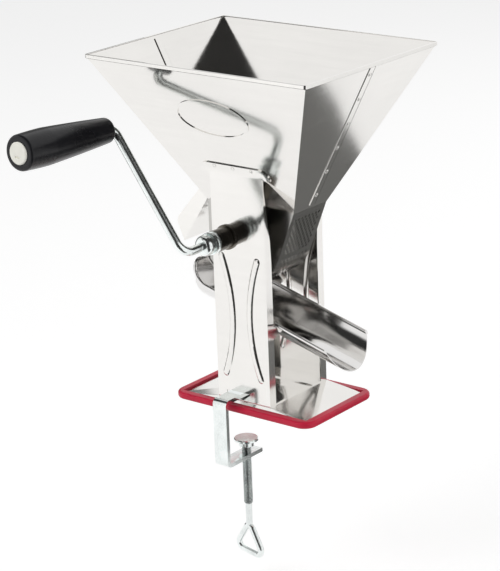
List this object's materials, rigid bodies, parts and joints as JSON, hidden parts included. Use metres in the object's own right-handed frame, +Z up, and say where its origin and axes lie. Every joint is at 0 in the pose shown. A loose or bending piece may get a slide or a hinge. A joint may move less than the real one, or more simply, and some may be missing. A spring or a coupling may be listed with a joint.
{
  "type": "hand-cranked tomato strainer",
  "caption": "Steel tomato strainer: tapered hopper over a bladed rotor and a perforated screen, side crank, juice chute, two legs on a cushioned base, and a table clamp.",
  "frame": {"origin": "on the table top, under the middle of the base", "axes": "+X towards the juice lip, -Y towards the crank and the table's edge, +Z up"},
  "size_m": [0.2268, 0.2966, 0.4438],
  "materials": {
    "sheet_steel": "satin stainless sheet",
    "polished_steel": "mirror-polished stainless",
    "zinc": "bright zinc plate",
    "turned_steel": "turned stainless",
    "red_edging": "satin soft vinyl",
    "white_nylon": "moulded nylon",
    "grip_black": "high gloss",
    "plug_cream": "moulded"
  },
  "bodies": {
    "stand": {"hopper": "sheet_steel", "chamber_front_plate": "sheet_steel", "chamber_rear_plate": "sheet_steel", "screen": "sheet_steel", "skin_chute": "sheet_steel", "front_leg": "polished_steel", "rear_leg": "polished_steel", "base_plate": "polished_steel", "gasket": "red_edging", "front_bush": "turned_steel", "rear_bush": "turned_steel"},
    "crank": {"rotor_shaft": "turned_steel", "rotor_core": "white_nylon", "front_seal": "white_nylon", "rear_seal": "white_nylon", "upper_springs": "turned_steel", "lower_springs": "turned_steel", "shaft_clip": "turned_steel", "ring_nut": "zinc", "crank_collar": "zinc", "crank_rod": "zinc", "grip_washer": "zinc"},
    "upper_blade": {"upper_blade": "white_nylon"},
    "lower_blade": {"lower_blade": "white_nylon"},
    "grip": {"handle_grip": "grip_black", "handle_plug": "plug_cream"},
    "chute": {"juice_chute": "sheet_steel"},
    "clamp": {"clamp_strap": "zinc"},
    "pad": {"clamp_pad": "zinc"},
    "screw": {"clamp_screw": "zinc"}
  },
  "joints": [
    {"name": "crank_spin", "type": "hinge", "parent": "stand", "child": "crank", "pos_m": [-0.012, 0, 0.1516], "axis": [0, 1, 0], "continuous": true},
    {"name": "grip_spin", "type": "hinge", "parent": "crank", "child": "grip", "pos_m": [-0.08019, -0.096, 0.2479], "axis": [-0.0242, -0.9991, 0.0342], "continuous": true},
    {"name": "upper_blade_slide", "type": "slide", "parent": "crank", "child": "upper_blade", "axis": [0, 0, 1], "range_m": [-0.005, 0], "stiffness_N_per_m": 400, "springref_m": 0.004, "deforming": ["upper_springs"]},
    {"name": "lower_blade_slide", "type": "slide", "parent": "crank", "child": "lower_blade", "axis": [0, 0, -1], "range_m": [-0.005, 0], "stiffness_N_per_m": 400, "springref_m": 0.004, "deforming": ["lower_springs"]},
    {"name": "chute_slide", "type": "slide", "parent": "stand", "child": "chute", "axis": [-0.963, 0, 0.2696], "range_m": [0, 0.1]},
    {"name": "clamp_draw", "type": "slide", "parent": "stand", "child": "clamp", "axis": [0, -1, 0], "range_m": [0, 0.02]},
    {"name": "clamp_travel", "type": "slide", "parent": "clamp", "child": "pad", "axis": [0, 0, 1], "range_m": [-0.0045, 0.028]},
    {"name": "clamp_turn", "type": "hinge", "parent": "pad", "child": "screw", "pos_m": [-0.01, -0.027, 0], "axis": [0, 0, 1], "range_deg": [-1300, 8070]}
  ],
  "couplings": [
    {"joint": "clamp_turn", "follows": "clamp_travel", "rad_per_m": 5026.5}
  ]
}
